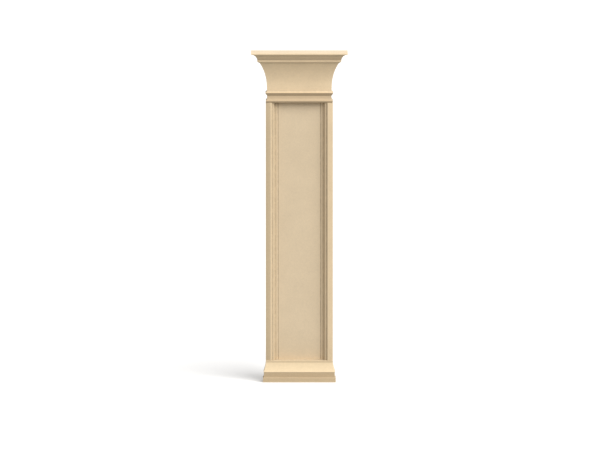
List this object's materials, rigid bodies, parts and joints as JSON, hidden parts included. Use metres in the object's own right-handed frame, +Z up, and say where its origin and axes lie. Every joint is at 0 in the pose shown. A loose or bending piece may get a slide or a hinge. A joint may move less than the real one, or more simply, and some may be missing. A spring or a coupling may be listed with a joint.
{
  "type": "wall pilaster",
  "caption": "Flat wall pilaster with a low moulded base, a sunk-panel shaft with moulded edges and a flared bell-shaped capital, flat at the back.",
  "frame": {"origin": "on the floor, under the middle of the pilaster's whole width and depth", "axes": "+Z up along the shaft, +X across the front to the right, -Y out of the front, so the flat back faces +Y"},
  "size_m": [0.288, 0.089, 0.9896],
  "materials": {
    "base_wood": "raw fine-fibre wood panel, milled and sanded smooth, unpainted",
    "shaft_wood": "raw fine-fibre wood panel, milled and sanded smooth, unpainted",
    "capital_wood": "raw fine-fibre wood panel, milled and sanded smooth, unpainted"
  },
  "bodies": {
    "root": {"base": "base_wood", "shaft": "shaft_wood", "capital": "capital_wood"}
  },
  "joints": []
}
